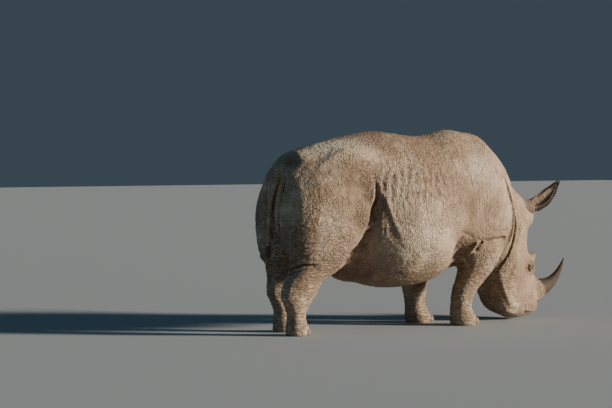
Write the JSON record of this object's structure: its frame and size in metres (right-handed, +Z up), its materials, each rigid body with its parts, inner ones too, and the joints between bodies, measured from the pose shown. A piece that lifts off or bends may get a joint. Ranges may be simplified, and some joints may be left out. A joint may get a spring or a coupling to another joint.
{
  "type": "white rhinoceros",
  "caption": "Grazing white rhinoceros bull, life size: hump over the shoulder, lowered square-lipped head, long and short horn, pillar legs and hanging tail.",
  "frame": {"origin": "on the floor, under the middle of the animal's bounding box", "axes": "+X towards the head, +Y to the animal's left, +Z up"},
  "size_m": [3.4568, 1.2762, 1.7915],
  "materials": {
    "hide": "dusty, pebbled and wrinkled hide, rough",
    "horn": "fibrous keratin, worn smooth at the tip",
    "eye": "wet, dark brown",
    "nail": "scuffed keratin",
    "hair": "coarse dark bristles"
  },
  "bodies": {
    "root": {"trunk": "hide", "neck": "hide", "head": "hide", "horn_front": "horn", "horn_rear": "horn", "ear_right": "hide", "ear_left": "hide", "eye_right": "eye", "eye_left": "eye", "tail": "hide", "tail_tuft": "hair", "leg_front_right": "hide", "toenail_front_right_inner": "nail", "toenail_front_right_middle": "nail", "toenail_front_right_outer": "nail", "leg_front_left": "hide", "toenail_front_left_inner": "nail", "toenail_front_left_middle": "nail", "toenail_front_left_outer": "nail", "leg_hind_right": "hide", "toenail_hind_right_inner": "nail", "toenail_hind_right_middle": "nail", "toenail_hind_right_outer": "nail", "leg_hind_left": "hide", "toenail_hind_left_inner": "nail", "toenail_hind_left_middle": "nail", "toenail_hind_left_outer": "nail"}
  },
  "joints": []
}
